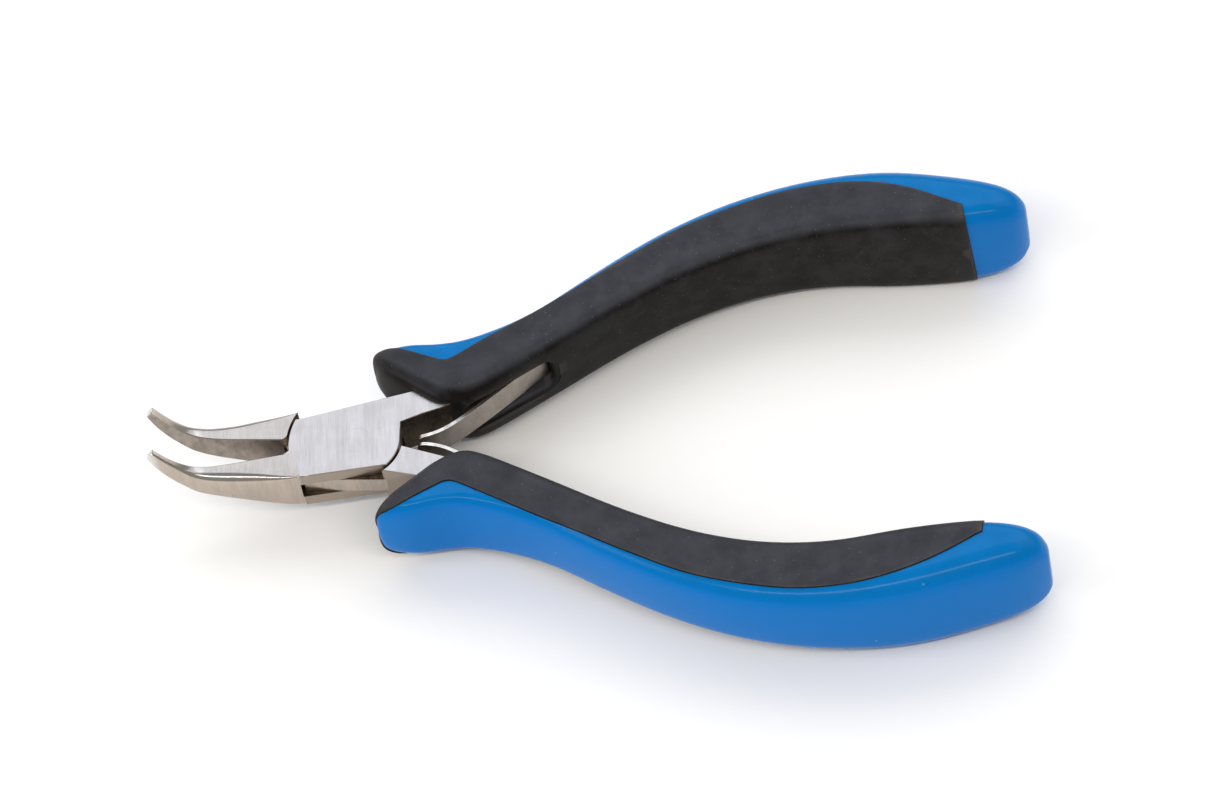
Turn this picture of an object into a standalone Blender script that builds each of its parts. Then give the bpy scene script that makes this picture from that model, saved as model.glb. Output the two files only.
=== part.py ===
"""Bent needle nose pliers with a box joint, double leaf springs and two-part grips.

Every outline is drawn with the pliers closed, in millimetres, in the plan of the joint:
X runs from the jaws (-) to the handles (+), Y across the handles, and Z along the rivet.
The half with the box carries the lower jaw and the upper handle. The half with the tongue
carries the upper jaw and the lower handle. Each half hangs from an empty on the rivet's
axis, which turns it by half of the opening angle into its sprung-open rest place.
"""

import math

import bmesh
import bpy
from mathutils import Matrix, Vector

MM = 0.001
FIT_GAP = 0.3            # clearance between neighbouring pieces
HALF_OPENING = 6.0       # degrees from closed to open, each half

# Steel head
STEEL_HALF = 3.65        # half of the head's thickness
TONGUE_HALF = 1.45
WINDOW_HALF = TONGUE_HALF + FIT_GAP
RIVET_RADIUS = 2.0
FRONT_SHOULDER = 10.2    # radius of the tongue half's shoulder in front of the box
REAR_SHOULDER = 6.6      # radius of the tongue half's shoulder behind the box
TONGUE_FRONT = 9.2       # radius of the tongue's lower front edge
WINDOW_FRONT = 10.0      # radius of the window's front end
JAW_GAP = 0.1            # from each gripping face to the closing plane
JAW_BEVEL = 0.55         # rounding of a jaw's outer top edge
CUT_HALF = 12.0          # reach of a cut that goes right through

# Tang inside each grip
TANG_HALF = 2.5
TANG_END = 14.6          # X where the full-thickness neck steps down to the tang

# Grips
INSERT_SKIN = 1.4        # thickness of the soft insert over the hard shell
INNER_CORNER = 2.0
OUTER_CORNER = 2.6
INSERT_END = 91.05       # X of the cross cut where the soft insert ends

# Leaf springs
LEAF_THICK = 0.55
LEAF_HALF_WIDTH = 2.25
SLOT_HALF_WIDTH = 2.75
SLOT_CORNER = 1.5
LEAF_RIVET_RADIUS = 0.6
LEAF_RIVET_HEAD = 1.25
LEAF_RIVET_DEPTH = 1.4   # reach of the rivet into the tang
ROOM_HALF_WIDTH = LEAF_HALF_WIDTH + FIT_GAP
SLOT_DEPTH = 2.9

# Jaw sections: top X, top Z, bottom X, bottom Z, width
JAW_ROOTS = {
    -1: (-7.5, 3.65, -7.5, -3.65, 4.6),     # lower jaw, within the side of the box
    1: (-7.5, 3.65, -7.5, -3.65, 5.2),      # upper jaw, out to the tongue's edge
}
JAW_SECTIONS = [
    (-11.0, 3.65, -11.0, -3.3, 4.35),
    (-14.5, 3.65, -14.4, -2.55, 3.75),
    (-18.0, 3.65, -17.8, -1.7, 3.05),
    (-21.0, 3.85, -21.0, -0.75, 2.45),
    (-23.0, 4.4, -23.6, 0.45, 2.05),
    (-24.6, 5.4, -25.4, 2.15, 1.7),
    (-26.2, 7.1, -27.2, 4.45, 1.45),
    (-27.5, 9.0, -28.6, 7.0, 1.3),
    (-28.6, 10.9, -29.6, 9.6, 1.2),
]

# Grip sections: inner X, inner Y, outer X, outer Y, half height
GRIP_SECTIONS = [
    (13.2, 3.5, 4.2, 12.0, 5.0),
    (15.0, 3.2, 4.1, 13.6, 6.3),
    (16.6, 3.0, 8.6, 13.8, 6.8),
    (18.6, 3.5, 13.3, 12.7, 7.0),
    (22.0, 4.9, 18.4, 12.8, 6.9),
    (30.0, 8.5, 27.2, 15.4, 6.7),
    (40.0, 13.0, 36.8, 20.4, 6.6),
    (50.0, 16.6, 46.8, 25.1, 6.7),
    (60.0, 18.6, 57.7, 28.4, 7.1),
    (70.0, 18.8, 69.5, 29.6, 7.8),
    (80.0, 17.3, 81.0, 28.3, 8.85),
    (90.0, 15.8, 91.5, 25.0, 8.85),
    (95.5, 15.6, 96.6, 22.9, 8.4),
    (98.6, 16.4, 99.3, 21.0, 7.2),
    (100.1, 17.8, 100.3, 19.8, 5.2),
]
CORE_FIRST, CORE_LAST = 3, 11      # sections between which the shell fills the insert

# Edge between the soft insert and the hard shell, seen from above
INSERT_EDGE = [
    (2.4, 16.0), (4.5, 14.4), (8.4, 12.2), (12.2, 9.9), (14.0, 8.95), (15.8, 9.15),
    (20.5, 11.3), (31.5, 16.1), (41.2, 20.6), (51.0, 24.5), (62.5, 26.8), (70.5, 26.9),
    (77.3, 25.7), (84.0, 23.0), (INSERT_END, 18.5),
]

# Tang centre line and width
TANG_PATH = [
    (11.0, 4.75, 4.0), (14.4, 5.75, 3.8), (17.2, 7.0, 3.0), (20.4, 8.45, 2.6), (28.5, 12.1, 2.6),
    (38.4, 16.6, 2.6), (48.4, 20.3, 2.6), (58.9, 23.0, 2.6), (69.9, 23.8, 2.6), (79.5, 22.3, 2.2),
]

# Leaf spring centre line from its free end to its riveted root
LEAF_PATH = [
    (8.5, -0.35), (10.4, -0.25), (12.4, 0.2), (14.5, 1.15), (17.7, 3.0), (21.5, 5.35),
    (24.2, 7.1), (26.6, 8.75), (29.0, 10.25), (31.0, 11.18), (33.0, 12.09),
]
ROOT_START, ROOT_END = (29.0, 10.9), (33.2, 12.81)   # run of the tang's inner face under the leaf's root
ROOT_RIVET = 0.57                                    # where the rivet stands along that run
SLOT_START, SLOT_END = (15.9, 2.56), (29.2, 8.18)    # mid line of the slot on the grip's face


def clear_scene():
    for obj in list(bpy.data.objects):
        bpy.data.objects.remove(obj, do_unlink=True)


def material(name, colour, metallic, roughness):
    mat = bpy.data.materials.new(name)
    mat.use_nodes = True
    shader = mat.node_tree.nodes["Principled BSDF"]
    shader.inputs["Base Color"].default_value = (*colour, 1.0)
    shader.inputs["Metallic"].default_value = metallic
    shader.inputs["Roughness"].default_value = roughness
    return mat


def arc(radius, start, end, steps):
    """Points of an arc about the rivet, angles in degrees."""
    turns = [math.radians(start + (end - start) * i / steps) for i in range(steps + 1)]
    return [(radius * math.cos(a), radius * math.sin(a)) for a in turns]


def smooth(points, steps):
    """A soft curve through points of any number of coordinates."""
    result = []
    last = len(points) - 1
    for i in range(last):
        before, a, b, after = (points[max(i - 1, 0)], points[i], points[i + 1], points[min(i + 2, last)])
        for step in range(steps):
            t = step / steps
            result.append(tuple(spline(p, q, r, s, t) for p, q, r, s in zip(before, a, b, after)))
    result.append(tuple(points[-1]))
    return result


def spline(p, q, r, s, t):
    """Catmull-Rom value between q and r."""
    return 0.5 * (2 * q + (r - p) * t + (2 * p - 5 * q + 4 * r - s) * t**2 + (3 * q - p - 3 * r + s) * t**3)


def side_step(path, distance):
    """An open path moved sideways, to its left for a positive distance."""
    moved = []
    last = len(path) - 1
    for i, point in enumerate(path):
        ahead = Vector(path[min(i + 1, last)][:2]) - Vector(path[max(i - 1, 0)][:2])
        normal = Vector((-ahead.y, ahead.x)).normalized()
        step = distance(point) if callable(distance) else distance
        moved.append((point[0] + normal.x * step, point[1] + normal.y * step))
    return moved


def grow(outline, distance):
    """A closed outline, drawn anticlockwise, moved outwards."""
    grown = []
    count = len(outline)
    for i, point in enumerate(outline):
        back = (Vector(point) - Vector(outline[i - 1])).normalized()
        ahead = (Vector(outline[(i + 1) % count]) - Vector(point)).normalized()
        normal = Vector((back.y + ahead.y, -back.x - ahead.x)).normalized()
        reach = distance / max(normal.dot(Vector((back.y, -back.x))), 0.4)
        grown.append((point[0] + normal.x * reach, point[1] + normal.y * reach))
    return grown


def prism(outline, low, high, place=None):
    """A flat outline raised from low to high; place turns it into the piece's frame."""
    rings = [[Vector((x, y, z)) for x, y in outline] for z in (low, high)]
    return loft([[place @ v for v in ring] for ring in rings] if place else rings)


def loft(rings):
    """A closed solid through rings of equal length."""
    mesh = bmesh.new()
    rows = [[mesh.verts.new(point * MM) for point in ring] for ring in rings]
    count = len(rings[0])
    for row, following in zip(rows, rows[1:]):
        for i in range(count):
            j = (i + 1) % count
            mesh.faces.new((row[i], row[j], following[j], following[i]))
    mesh.faces.new(reversed(rows[0]))
    mesh.faces.new(rows[-1])
    bmesh.ops.recalc_face_normals(mesh, faces=mesh.faces)
    return mesh


def add_object(name, mesh, parent, mat=None, mirrored=False):
    if mirrored:
        bmesh.ops.transform(mesh, matrix=Matrix.Scale(-1, 4, (0, 1, 0)), verts=mesh.verts)
        bmesh.ops.reverse_faces(mesh, faces=mesh.faces)
    data = bpy.data.meshes.new(name)
    mesh.to_mesh(data)
    mesh.free()
    obj = bpy.data.objects.new(name, data)
    bpy.context.collection.objects.link(obj)
    obj.parent = parent
    if mat:
        data.materials.append(mat)
        data.shade_smooth()
        data.set_sharp_from_angle(angle=math.radians(35))
    else:
        obj.hide_render = True
        obj.display_type = "WIRE"
    return obj


def combine(target, operation, name, mesh, mirrored=False):
    """Boolean with a hidden helper that stays in the file."""
    helper = add_object(name, mesh, target.parent, mirrored=mirrored)
    modifier = target.modifiers.new(name, "BOOLEAN")
    modifier.operation = operation
    modifier.solver = "EXACT"
    modifier.object = helper


def cylinder(radius, low, high, place=None, steps=40):
    turns = [2 * math.pi * i / steps for i in range(steps)]
    return prism([(radius * math.cos(a), radius * math.sin(a)) for a in turns], low, high, place)


def jaw_section(values, side):
    """Gripping face on the closing plane, and a rounded outer edge on top."""
    top_x, top_z, low_x, low_z, width = values
    top, low = Vector((top_x, 0, top_z)), Vector((low_x, 0, low_z))
    height = (top - low).length
    across = [(JAW_GAP, 0), (JAW_GAP, height), (width - JAW_BEVEL, height),
              (width - JAW_BEVEL * 0.3, height - JAW_BEVEL * 0.3), (width, height - JAW_BEVEL), (width, 0)]
    up = (top - low).normalized()
    return [low + up * v + Vector((0, side * u, 0)) for u, v in across]


def jaw(side):
    sections = smooth([JAW_ROOTS[side], *JAW_SECTIONS], 2)
    return loft([jaw_section(values, side) for values in sections])


def grip_section(values, inset):
    """A rectangle with round corners, standing on the plan from inner to outer side."""
    inner_x, inner_y, outer_x, outer_y, half = values
    inner, outer = Vector((inner_x, inner_y, 0)), Vector((outer_x, outer_y, 0))
    across = (outer - inner).normalized()
    width = (outer - inner).length
    top = half - inset
    corners = [(width - inset, top, OUTER_CORNER, 0), (inset, top, INNER_CORNER, 90),
               (inset, -top, INNER_CORNER, 180), (width - inset, -top, OUTER_CORNER, 270)]
    ring = []
    for u, v, radius, start in corners:
        radius = min(max(radius - inset, 0.5), width * 0.4)
        centre_u = u - math.copysign(radius, u - width / 2)
        centre_v = v - math.copysign(radius, v)
        for i in range(4):
            turn = math.radians(start + 30 * i)
            point = inner + across * (centre_u + radius * math.cos(turn))
            ring.append(point + Vector((0, 0, centre_v + radius * math.sin(turn))))
    return ring


def grip_body(inset=0.0, first=0, last=None):
    sections = GRIP_SECTIONS[first:None if last is None else last + 1]
    return loft([grip_section(values, inset) for values in smooth(sections, 2)])


def insert_zone(shift):
    """Plan of the soft insert: everything inside its edge and in front of its cross cut."""
    edge = side_step(smooth(INSERT_EDGE, 3), shift)
    edge[-1] = (INSERT_END + shift, edge[-1][1])
    return [*edge, (INSERT_END + shift, 5.0), (0.0, -8.0), (0.0, 16.0)]


def tang_outline(gap=0.0):
    path = smooth(TANG_PATH, 2)
    left = side_step(path, lambda p: p[2] / 2 + gap)
    right = side_step(path, lambda p: -p[2] / 2 - gap)
    left[-1] = (left[-1][0] + gap, left[-1][1])
    right[-1] = (right[-1][0] + gap, right[-1][1])
    return right + left[::-1]


def neck_outline():
    """Full-thickness neck between the joint and the tang, inside the collar."""
    return [(8.0, 2.1), (12.57, 2.9), (TANG_END, 3.5), (13.4, 7.6), (10.3, 6.81), (8.0, 6.5)]


def box_outline():
    """Box of the joint, its neck, and the step to the lower jaw, anticlockwise."""
    front = arc(FRONT_SHOULDER - FIT_GAP, 146.5, 178.0, 6)
    rear = arc(REAR_SHOULDER - FIT_GAP, -53.0, -10.0, 8)
    neck = [(6.67, 1.76), (9.82, 2.5), (12.57, 2.9), (TANG_END, 3.5), (13.4, 7.6), (10.3, 6.81)]
    return [(-8.8, -4.55), *rear, *neck, (-6.7, 5.45), *front, (-10.6, -JAW_GAP), (-9.0, -1.5)]


def shoulder_outline():
    """Root of the tongue half's handle, drawn on the upper side, to be mirrored."""
    face = arc(REAR_SHOULDER, 51.0, 7.2, 8)
    return [*face, (13.05, 2.7), (TANG_END, 3.5), (13.4, 7.6), (8.97, 5.94)]


def tongue_outline():
    """Tongue through the window, from the lower handle's shoulder to the upper jaw."""
    front = arc(TONGUE_FRONT, 177.5, 215.2, 6)
    return [*front, (4.0, -5.3), (7.6, -4.4), (8.0, -1.6), (6.3, -0.9), (0.8, 5.6), (-7.0, 5.35),
            (-8.7, 4.9), (-11.4, 3.4), (-11.4, 0.45)]


def window_outline():
    """Space the tongue sweeps inside the box as the pliers open and close."""
    front = arc(WINDOW_FRONT, 179.0, 214.0, 6)
    return [*front, (-7.4, -8.0), (9.0, -8.0), (9.0, 0.8), (4.6, 1.3), (2.2, 5.45), (0.8, 8.0),
            (-12.0, 8.0), (-12.0, 0.12)]


def face_frame(start, end):
    """Matrix with X along a run in plan, Y along Z, and Z out of the grip's inner face."""
    along = (Vector((*end, 0)) - Vector((*start, 0))).normalized()
    out = Vector((along.y, -along.x, 0))
    turn = Matrix((along, (0, 0, 1), out)).transposed().to_4x4()
    return Matrix.Translation(Vector((*start, 0))) @ turn


def slot_outline(length):
    """Slot from 0 to length with round corners."""
    corner = SLOT_CORNER
    centres = [(length - corner, SLOT_HALF_WIDTH - corner, 0), (corner, SLOT_HALF_WIDTH - corner, 90),
               (corner, corner - SLOT_HALF_WIDTH, 180), (length - corner, corner - SLOT_HALF_WIDTH, 270)]
    turns = [(x, y, math.radians(start + 30 * i)) for x, y, start in centres for i in range(4)]
    return [(x + corner * math.cos(turn), y + corner * math.sin(turn)) for x, y, turn in turns]


def root_length():
    return (Vector(ROOT_END) - Vector(ROOT_START)).length


def rivet_spot():
    """Frame at the leaf's rivet, with Z out of the tang's face."""
    return face_frame(ROOT_START, ROOT_END) @ Matrix.Translation((root_length() * ROOT_RIVET, 0, 0))


def rivet_head_low():
    """Height of the rivet head's underside over the tang, clear of the leaf."""
    return LEAF_THICK + 2 * FIT_GAP + 0.05


def root_room():
    """Space under the grip for the leaf's root and its rivet's head."""
    low, high = -7 * FIT_GAP, root_length() + FIT_GAP
    block = [(low, -ROOM_HALF_WIDTH), (high, -ROOM_HALF_WIDTH),
             (high, ROOM_HALF_WIDTH), (low, ROOM_HALF_WIDTH)]
    return prism(block, -FIT_GAP, rivet_head_low() + 2 * FIT_GAP, face_frame(ROOT_START, ROOT_END))


def leaf_slot():
    start, end = Vector(SLOT_START), Vector(SLOT_END)
    return prism(slot_outline((end - start).length), -SLOT_DEPTH, 2.0, face_frame(start, end))


def finish_handle(half, upper):
    """Tang, and the hole in it for the leaf spring's rivet."""
    side = "upper" if upper else "lower"
    combine(half, "UNION", f"tang_{side}_helper", prism(tang_outline(), -TANG_HALF, TANG_HALF), not upper)
    hole = cylinder(LEAF_RIVET_RADIUS + FIT_GAP, -LEAF_RIVET_DEPTH - FIT_GAP, 1.0, rivet_spot(), 16)
    combine(half, "DIFFERENCE", f"rivet_hole_{side}_helper", hole, not upper)


def box_half(parent, steel):
    half = add_object("box_half", prism(box_outline(), -STEEL_HALF, STEEL_HALF), parent, steel)
    combine(half, "UNION", "lower_jaw_helper", jaw(-1))
    finish_handle(half, True)
    combine(half, "DIFFERENCE", "window_helper", prism(window_outline(), -WINDOW_HALF, WINDOW_HALF))
    combine(half, "DIFFERENCE", "box_bore_helper", cylinder(RIVET_RADIUS + FIT_GAP, -CUT_HALF, CUT_HALF))


def tongue_half(parent, steel):
    cut = [(-9.3, -1.5), (0.0, -1.5), *arc(FRONT_SHOULDER, 100.0, 176.0, 12), (-11.1, -JAW_GAP)]
    half = add_object("tongue_half", jaw(1), parent, steel)
    combine(half, "DIFFERENCE", "jaw_shoulder_helper", prism(cut, -CUT_HALF, CUT_HALF))
    combine(half, "UNION", "tongue_helper", prism(tongue_outline(), -TONGUE_HALF, TONGUE_HALF))
    root = prism(shoulder_outline(), -STEEL_HALF, STEEL_HALF)
    combine(half, "UNION", "handle_root_helper", root, True)
    finish_handle(half, False)
    combine(half, "DIFFERENCE", "tongue_bore_helper", cylinder(RIVET_RADIUS + FIT_GAP, -CUT_HALF, CUT_HALF))


def leaf_spring(name, parent, steel, upper):
    """Bent strip, riveted to its tang, with its free end between the halves."""
    path = smooth(LEAF_PATH, 3)
    edges = side_step(path, LEAF_THICK / 2), side_step(path, -LEAF_THICK / 2)
    rings = [[Vector((x, y, z)) for (x, y), z in zip((a, b, b, a), (1, 1, -1, -1))] for a, b in zip(*edges)]
    for ring in rings:
        for corner in ring:
            corner.z *= LEAF_HALF_WIDTH
    leaf = add_object(name, loft(rings), parent, steel, mirrored=not upper)
    hole = cylinder(LEAF_RIVET_RADIUS + FIT_GAP, -1.0, 3.0, rivet_spot(), 16)
    combine(leaf, "DIFFERENCE", f"{name}_hole_helper", hole, not upper)


def leaf_rivet(name, parent, steel, upper):
    """Small rivet with a low head, from the leaf into the tang."""
    head_low = rivet_head_low()
    profile = [(LEAF_RIVET_RADIUS, -LEAF_RIVET_DEPTH), (LEAF_RIVET_RADIUS, head_low),
               (LEAF_RIVET_HEAD, head_low), (LEAF_RIVET_HEAD, head_low + 0.15),
               (LEAF_RIVET_HEAD * 0.6, head_low + 0.3)]
    turns = [2 * math.pi * i / 16 for i in range(16)]
    spot = rivet_spot()
    rings = [[spot @ Vector((r * math.cos(a), r * math.sin(a), z)) for a in turns] for r, z in profile]
    add_object(name, loft(rings), parent, steel, mirrored=not upper)


def grip_cavity(target, side, upper):
    """Room for the neck, the tang and the leaf spring."""
    neck = prism(grow(neck_outline(), FIT_GAP), -STEEL_HALF - FIT_GAP, STEEL_HALF + FIT_GAP)
    tang = prism(tang_outline(FIT_GAP), -TANG_HALF - FIT_GAP, TANG_HALF + FIT_GAP)
    for kind, mesh in (("neck", neck), ("tang", tang), ("root", root_room()), ("slot", leaf_slot())):
        combine(target, "DIFFERENCE", f"{kind}_{side}_helper", mesh, not upper)


def grip(side, parent, hard, soft, upper):
    shell = add_object(f"grip_shell_{side}", grip_body(), parent, hard, mirrored=not upper)
    inner_zone = prism(insert_zone(FIT_GAP / 2), -CUT_HALF, CUT_HALF)
    combine(shell, "DIFFERENCE", f"shell_{side}_zone_helper", inner_zone, not upper)
    core = grip_body(INSERT_SKIN + FIT_GAP, CORE_FIRST, CORE_LAST + 1)
    combine(shell, "UNION", f"shell_{side}_core_helper", core, not upper)
    grip_cavity(shell, f"shell_{side}", upper)

    insert = add_object(f"grip_insert_{side}", grip_body(), parent, soft, mirrored=not upper)
    zone = prism(insert_zone(-FIT_GAP / 2), -CUT_HALF, CUT_HALF)
    combine(insert, "INTERSECT", f"insert_{side}_zone_helper", zone, not upper)
    room = grip_body(INSERT_SKIN, CORE_FIRST, CORE_LAST + 1)
    combine(insert, "DIFFERENCE", f"insert_{side}_room_helper", room, not upper)
    grip_cavity(insert, f"insert_{side}", upper)


def joint_empty(name, parent, angle, height=0.0):
    empty = bpy.data.objects.new(name, None)
    bpy.context.collection.objects.link(empty)
    empty.parent = parent
    empty.location = (0, 0, height * MM)
    empty.rotation_euler = (0, 0, math.radians(angle))
    return empty


def main():
    clear_scene()
    steel = material("brushed_steel", (0.72, 0.72, 0.74), 1.0, 0.32)
    spring = material("spring_steel", (0.50, 0.46, 0.42), 1.0, 0.38)
    hard = material("blue_plastic", (0.0, 0.17, 0.52), 0.0, 0.35)
    soft = material("black_rubber", (0.04, 0.042, 0.047), 0.0, 0.6)

    pliers = joint_empty("pliers_axis", None, 0.0, STEEL_HALF)
    box_side = joint_empty("box_axis", pliers, HALF_OPENING)
    tongue_side = joint_empty("tongue_axis", pliers, -HALF_OPENING)

    box_half(box_side, steel)
    tongue_half(tongue_side, steel)
    add_object("pivot_rivet", cylinder(RIVET_RADIUS, -STEEL_HALF, STEEL_HALF), box_side, steel)
    for side, parent, upper in (("upper", box_side, True), ("lower", tongue_side, False)):
        leaf_spring(f"leaf_spring_{side}", parent, spring, upper)
        leaf_rivet(f"leaf_rivet_{side}", parent, steel, upper)
        grip(side, parent, hard, soft, upper)


main()
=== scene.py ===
import math

import bmesh
import bpy
from mathutils import Matrix, Vector


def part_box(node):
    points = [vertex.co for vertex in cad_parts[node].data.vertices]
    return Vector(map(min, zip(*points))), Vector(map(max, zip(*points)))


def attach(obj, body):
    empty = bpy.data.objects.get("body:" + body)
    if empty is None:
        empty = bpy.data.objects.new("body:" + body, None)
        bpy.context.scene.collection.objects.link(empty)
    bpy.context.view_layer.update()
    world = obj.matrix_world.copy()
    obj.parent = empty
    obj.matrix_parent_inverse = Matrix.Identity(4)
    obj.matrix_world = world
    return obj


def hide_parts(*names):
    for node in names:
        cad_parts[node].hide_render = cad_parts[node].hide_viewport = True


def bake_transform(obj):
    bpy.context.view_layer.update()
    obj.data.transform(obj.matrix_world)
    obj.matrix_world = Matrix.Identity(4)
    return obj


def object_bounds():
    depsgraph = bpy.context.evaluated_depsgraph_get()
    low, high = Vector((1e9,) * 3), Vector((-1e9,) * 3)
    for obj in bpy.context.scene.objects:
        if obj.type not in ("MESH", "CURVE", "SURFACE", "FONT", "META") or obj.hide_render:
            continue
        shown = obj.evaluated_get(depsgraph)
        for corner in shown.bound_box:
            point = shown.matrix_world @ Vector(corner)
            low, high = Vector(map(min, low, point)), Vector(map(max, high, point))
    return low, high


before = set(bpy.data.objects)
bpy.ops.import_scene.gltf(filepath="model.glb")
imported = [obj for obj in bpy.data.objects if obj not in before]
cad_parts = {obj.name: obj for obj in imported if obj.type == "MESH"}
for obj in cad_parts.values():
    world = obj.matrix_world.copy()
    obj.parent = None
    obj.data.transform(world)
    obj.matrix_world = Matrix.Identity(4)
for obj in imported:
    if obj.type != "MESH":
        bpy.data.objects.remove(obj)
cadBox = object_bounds()

mm = 0.001
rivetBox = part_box("pivot_rivet")

# Everything is drawn with the pliers closed, in millimetres, with Z counted from the middle of the joint.
# The upper handle's pieces turn one way. The lower handle's are mirrored and turn the other way.
pliers = {
    "middle": (rivetBox[0].z + rivetBox[1].z) / 2 / mm,
    "steelHalf": (rivetBox[1].z - rivetBox[0].z) / 2 / mm,
    "halfOpening": 6.0,        # degrees that each half stands open at rest
    "fit": 0.3,                # running clearance in the joint
    "seam": 0.06,              # gap between pieces that are pressed or moulded together
}
halves = {
    "upper": {"turn": pliers["halfOpening"], "mirrored": False, "body": "box_side"},
    "lower": {"turn": -pliers["halfOpening"], "mirrored": True, "body": "tongue_side"},
}


def arcPoints(radius, start, end, steps):
    turns = [math.radians(start + (end - start) * i / steps) for i in range(steps + 1)]
    return [(radius * math.cos(a), radius * math.sin(a)) for a in turns]


def discOutline(radius, steps):
    turns = [2 * math.pi * i / steps for i in range(steps)]
    return [(radius * math.cos(a), radius * math.sin(a)) for a in turns]


def splineValue(p, q, r, s, t):
    # between q and r, with p and s as their neighbours
    return 0.5 * (2 * q + (r - p) * t + (2 * p - 5 * q + 4 * r - s) * t**2 + (3 * q - p - 3 * r + s) * t**3)


def smoothRun(points, steps):
    run = []
    last = len(points) - 1
    for i in range(last):
        around = (points[max(i - 1, 0)], points[i], points[i + 1], points[min(i + 2, last)])
        for step in range(steps):
            run.append(tuple(splineValue(*values, step / steps) for values in zip(*around)))
    run.append(tuple(points[-1]))
    return run


def sideStep(path, distance):
    # the path moved to its left
    moved = []
    last = len(path) - 1
    for i, point in enumerate(path):
        ahead = Vector(path[min(i + 1, last)][:2]) - Vector(path[max(i - 1, 0)][:2])
        normal = Vector((-ahead.y, ahead.x)).normalized()
        step = distance(point) if callable(distance) else distance
        moved.append((point[0] + normal.x * step, point[1] + normal.y * step))
    return moved


def growOutline(outline, distance):
    # moved outwards all round, with sharp corners kept short
    grown = []
    count = len(outline)
    for i, point in enumerate(outline):
        back = (Vector(point) - Vector(outline[i - 1])).normalized()
        ahead = (Vector(outline[(i + 1) % count]) - Vector(point)).normalized()
        normal = Vector((back.y + ahead.y, -back.x - ahead.x)).normalized()
        reach = distance / max(normal.dot(Vector((back.y, -back.x))), 0.4)
        grown.append((point[0] + normal.x * reach, point[1] + normal.y * reach))
    return grown


def loftMesh(rings):
    mesh = bmesh.new()
    rows = [[mesh.verts.new(point) for point in ring] for ring in rings]
    count = len(rings[0])
    for row, following in zip(rows, rows[1:]):
        for i in range(count):
            j = (i + 1) % count
            mesh.faces.new((row[i], row[j], following[j], following[i]))
    mesh.faces.new(reversed(rows[0]))
    mesh.faces.new(rows[-1])
    bmesh.ops.recalc_face_normals(mesh, faces=mesh.faces)
    return mesh


def prismMesh(outline, low, high, place=None):
    rings = [[Vector((x, y, z)) for x, y in outline] for z in (low, high)]
    if place:
        rings = [[place @ point for point in ring] for ring in rings]
    return loftMesh(rings)


def addMesh(name, mesh, half):
    # millimetres and the closed pose become metres in the rest pose
    lift = Matrix.Translation((0, 0, pliers["middle"] * mm))
    place = lift @ Matrix.Rotation(math.radians(half["turn"]), 4, "Z") @ Matrix.Scale(mm, 4)
    if half["mirrored"]:
        place = place @ Matrix.Scale(-1, 4, (0, 1, 0))
    bmesh.ops.transform(mesh, matrix=place, verts=mesh.verts)
    if half["mirrored"]:
        bmesh.ops.reverse_faces(mesh, faces=mesh.faces)
    data = bpy.data.meshes.new(name)
    mesh.to_mesh(data)
    mesh.free()
    piece = bpy.data.objects.new(name, data)
    bpy.context.collection.objects.link(piece)
    return piece


def applyStack(piece):
    shape = bpy.data.meshes.new_from_object(piece.evaluated_get(bpy.context.evaluated_depsgraph_get()))
    old = piece.data
    piece.modifiers.clear()
    piece.data = shape
    bpy.data.meshes.remove(old)
    shape.name = piece.name


def combine(piece, operation, mesh, half, finish=None):
    # faces that the helper leaves take its finish, where it has one
    helper = addMesh("helper", mesh, half)
    if finish:
        helper.data.materials.append(finish)
    cut = piece.modifiers.new("Cut", "BOOLEAN")
    cut.operation = operation
    cut.solver = "EXACT"
    cut.object = helper
    cut.material_mode = "TRANSFER" if finish else "INDEX"
    applyStack(piece)
    bpy.data.objects.remove(helper, do_unlink=True)


def addBevel(piece, width, segments, angle):
    rounding = piece.modifiers.new("Bevel", "BEVEL")
    rounding.width = width * mm
    rounding.segments = segments
    rounding.limit_method = "ANGLE"
    rounding.angle_limit = math.radians(angle)
    rounding.miter_outer = "MITER_ARC"
    rounding.harden_normals = True


def shadePiece(piece, angle):
    piece.data.shade_smooth()
    piece.data.set_sharp_from_angle(angle=math.radians(angle))


def finishPiece(piece, body, node):
    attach(piece, body)
    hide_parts(node)


def feed(tree, socket, value):
    if isinstance(value, bpy.types.NodeSocket):
        tree.links.new(value, socket)
    else:
        socket.default_value = value


def addNode(tree, kind, feeds, **settings):
    made = tree.nodes.new("ShaderNode" + kind)
    for name, value in settings.items():
        setattr(made, name, value)
    for name, value in feeds.items():
        feed(tree, made.inputs[name], value)
    return made


def calc(tree, operation, *values):
    made = tree.nodes.new("ShaderNodeMath")
    made.operation = operation
    for socket, value in zip(made.inputs, values):
        feed(tree, socket, value)
    return made.outputs[0]


def remap(tree, value, low, high, toLow=0.0, toHigh=1.0):
    feeds = {"Value": value, "From Min": low, "From Max": high, "To Min": toLow, "To Max": toHigh}
    return addNode(tree, "MapRange", feeds, interpolation_type="SMOOTHSTEP").outputs["Result"]


def mixColour(tree, share, first, second):
    made = addNode(tree, "Mix", {}, data_type="RGBA")
    for index, value in ((0, share), (6, first), (7, second)):    # the sockets of a colour mix
        feed(tree, made.inputs[index], (*value, 1) if isinstance(value, tuple) else value)
    return made.outputs[2]


def newGroup(name, inputs, outputs):
    group = bpy.data.node_groups.new(name, "ShaderNodeTree")
    for label, value in inputs.items():
        socket = group.interface.new_socket(label, in_out="INPUT", socket_type="NodeSocketFloat")
        socket.default_value = value
    for label in outputs:
        group.interface.new_socket(label, in_out="OUTPUT", socket_type="NodeSocketFloat")
    return group, group.nodes.new("NodeGroupInput"), group.nodes.new("NodeGroupOutput")


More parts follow.
